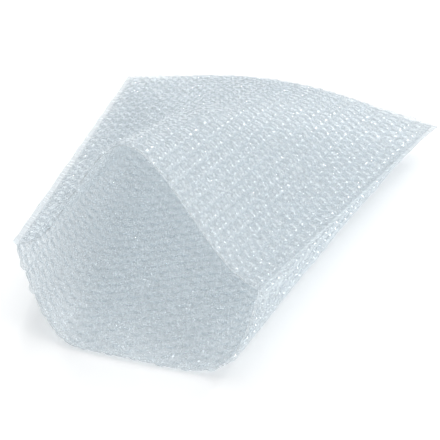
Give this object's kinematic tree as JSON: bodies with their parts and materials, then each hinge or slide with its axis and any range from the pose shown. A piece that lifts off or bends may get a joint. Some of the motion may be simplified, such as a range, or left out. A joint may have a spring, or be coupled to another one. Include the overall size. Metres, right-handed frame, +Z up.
{
  "type": "bubble pouch",
  "caption": "Open pouch of clear bubble film with welded sides and a folded closed end, lying on its lower panel with the mouth propped open to take goods.",
  "frame": {"origin": "bottom centre of the bounding box, on the surface that the pouch lies on", "axes": "+X to the right across the mouth, +Y from the mouth to the closed end, +Z up"},
  "size_m": [0.2796, 0.3614, 0.1735],
  "materials": {
    "bubble_film": "clear, faintly ice-blue film with a soft gloss"
  },
  "bodies": {
    "root": {"bubble_pouch": "bubble_film"}
  },
  "joints": []
}
